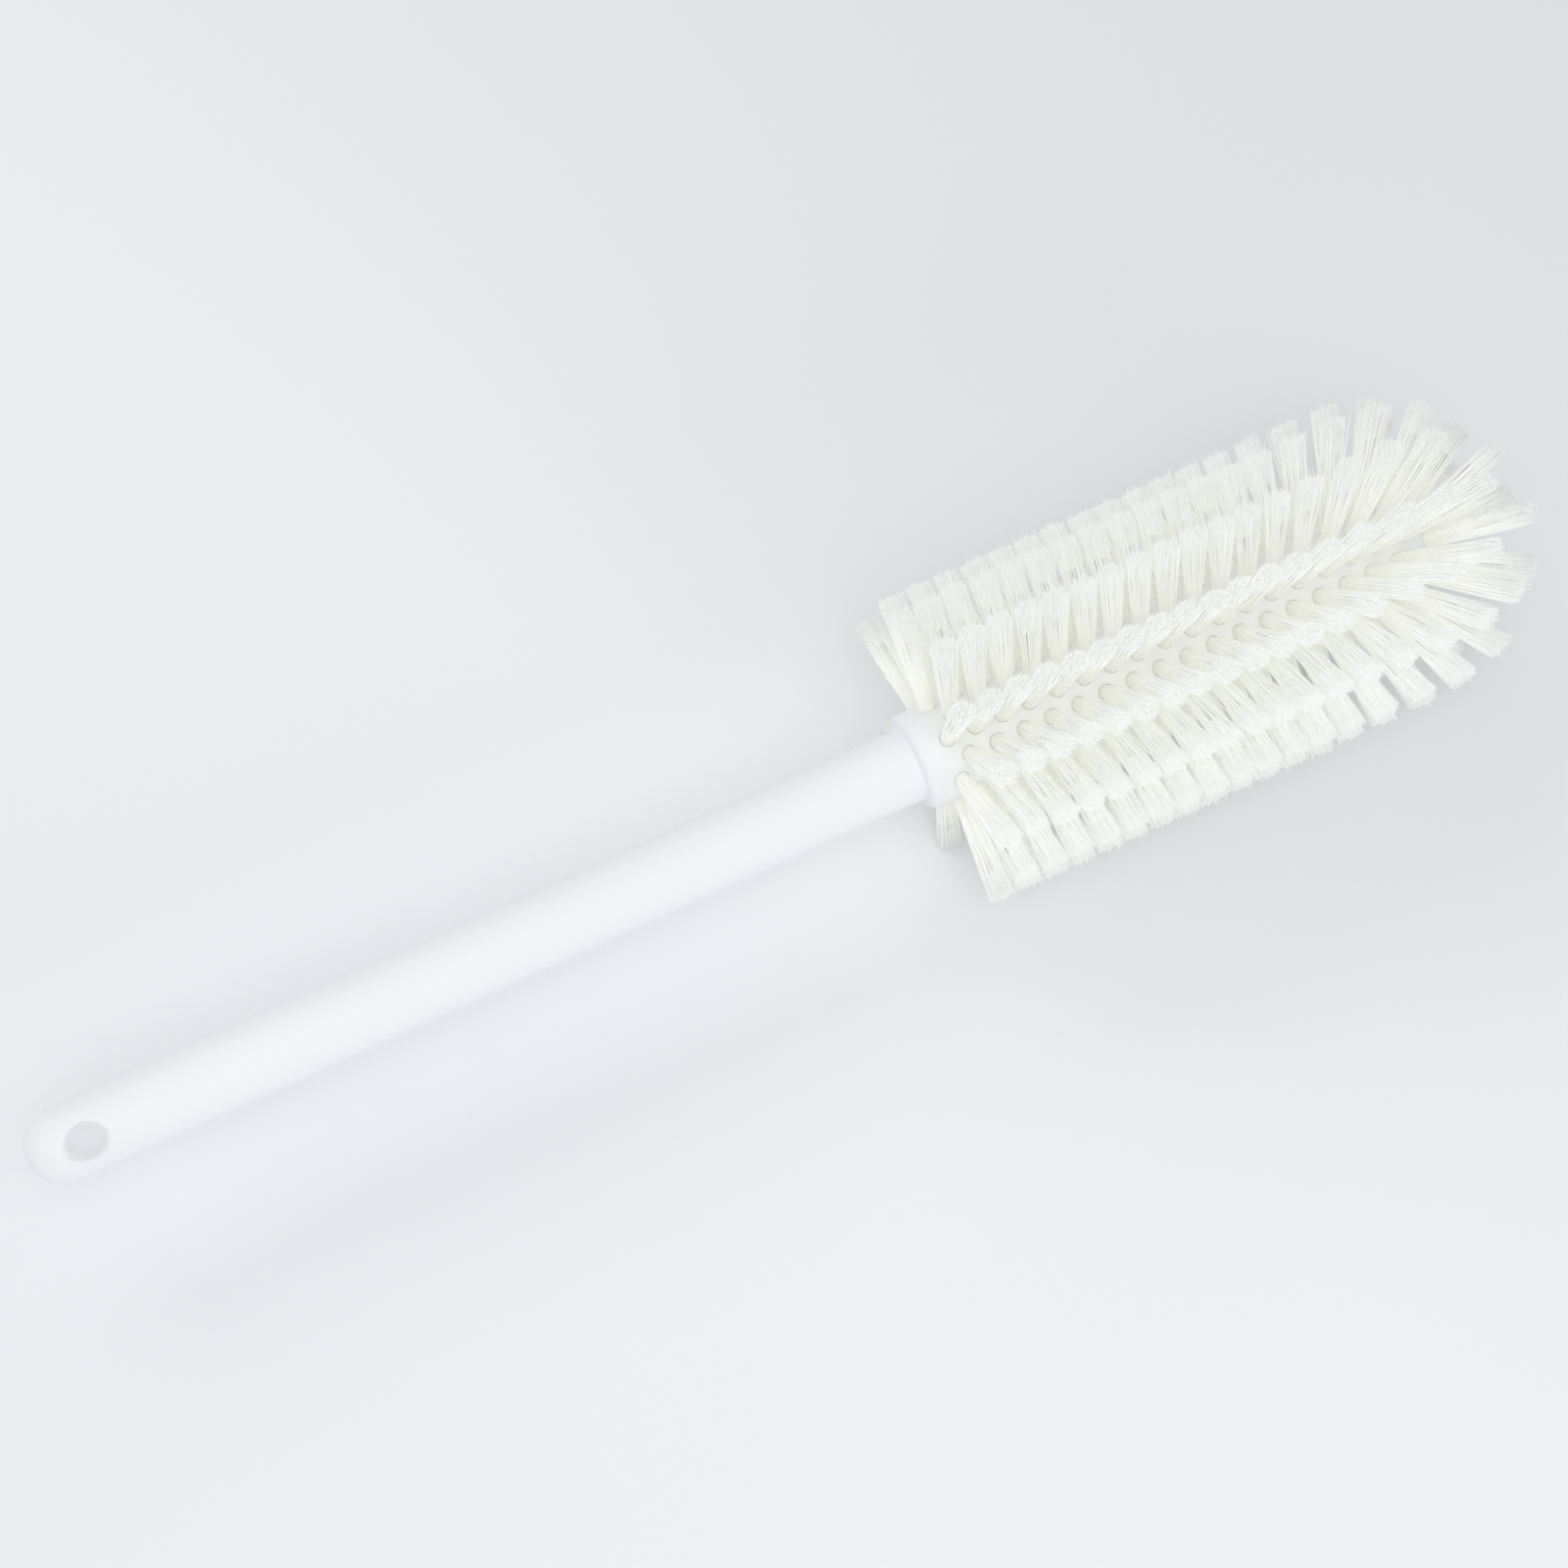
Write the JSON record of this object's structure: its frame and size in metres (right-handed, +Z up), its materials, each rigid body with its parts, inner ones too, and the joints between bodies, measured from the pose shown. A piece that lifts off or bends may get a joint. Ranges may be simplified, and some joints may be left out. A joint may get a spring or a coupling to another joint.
{
  "type": "bottle brush",
  "caption": "Long white bottle brush: round plastic grip with a hang hole and a bullet-shaped head of staggered bristle tufts that fan forward over the nose.",
  "frame": {"origin": "on the bench under the middle of the brush's overall length, below the axis of the grip", "axes": "+X along the brush from the ball end towards the nose, +Z up with the brush lying on two rows of tufts"},
  "size_m": [0.4105, 0.081, 0.0803],
  "materials": {
    "body": "smooth semi-gloss white polypropylene",
    "bristle": "translucent off-white crimp-free filament",
    "anchor": "bright flat stainless wire"
  },
  "bodies": {
    "root": {"handle": "body", "tuft_row_01": "bristle", "tuft_row_02": "bristle", "tuft_row_03": "bristle", "tuft_row_04": "bristle", "tuft_row_05": "bristle", "tuft_row_06": "bristle", "tuft_row_07": "bristle", "tuft_row_08": "bristle", "tuft_row_09": "bristle", "tuft_row_10": "bristle", "tuft_row_11": "bristle", "tuft_row_12": "bristle", "tuft_row_13": "bristle", "tuft_row_14": "bristle", "end_tuft": "bristle", "anchor_row_01": "anchor", "anchor_row_02": "anchor", "anchor_row_03": "anchor", "anchor_row_04": "anchor", "anchor_row_05": "anchor", "anchor_row_06": "anchor", "anchor_row_07": "anchor", "anchor_row_08": "anchor", "anchor_row_09": "anchor", "anchor_row_10": "anchor", "anchor_row_11": "anchor", "anchor_row_12": "anchor", "anchor_row_13": "anchor", "anchor_row_14": "anchor", "end_anchor": "anchor"}
  },
  "joints": []
}
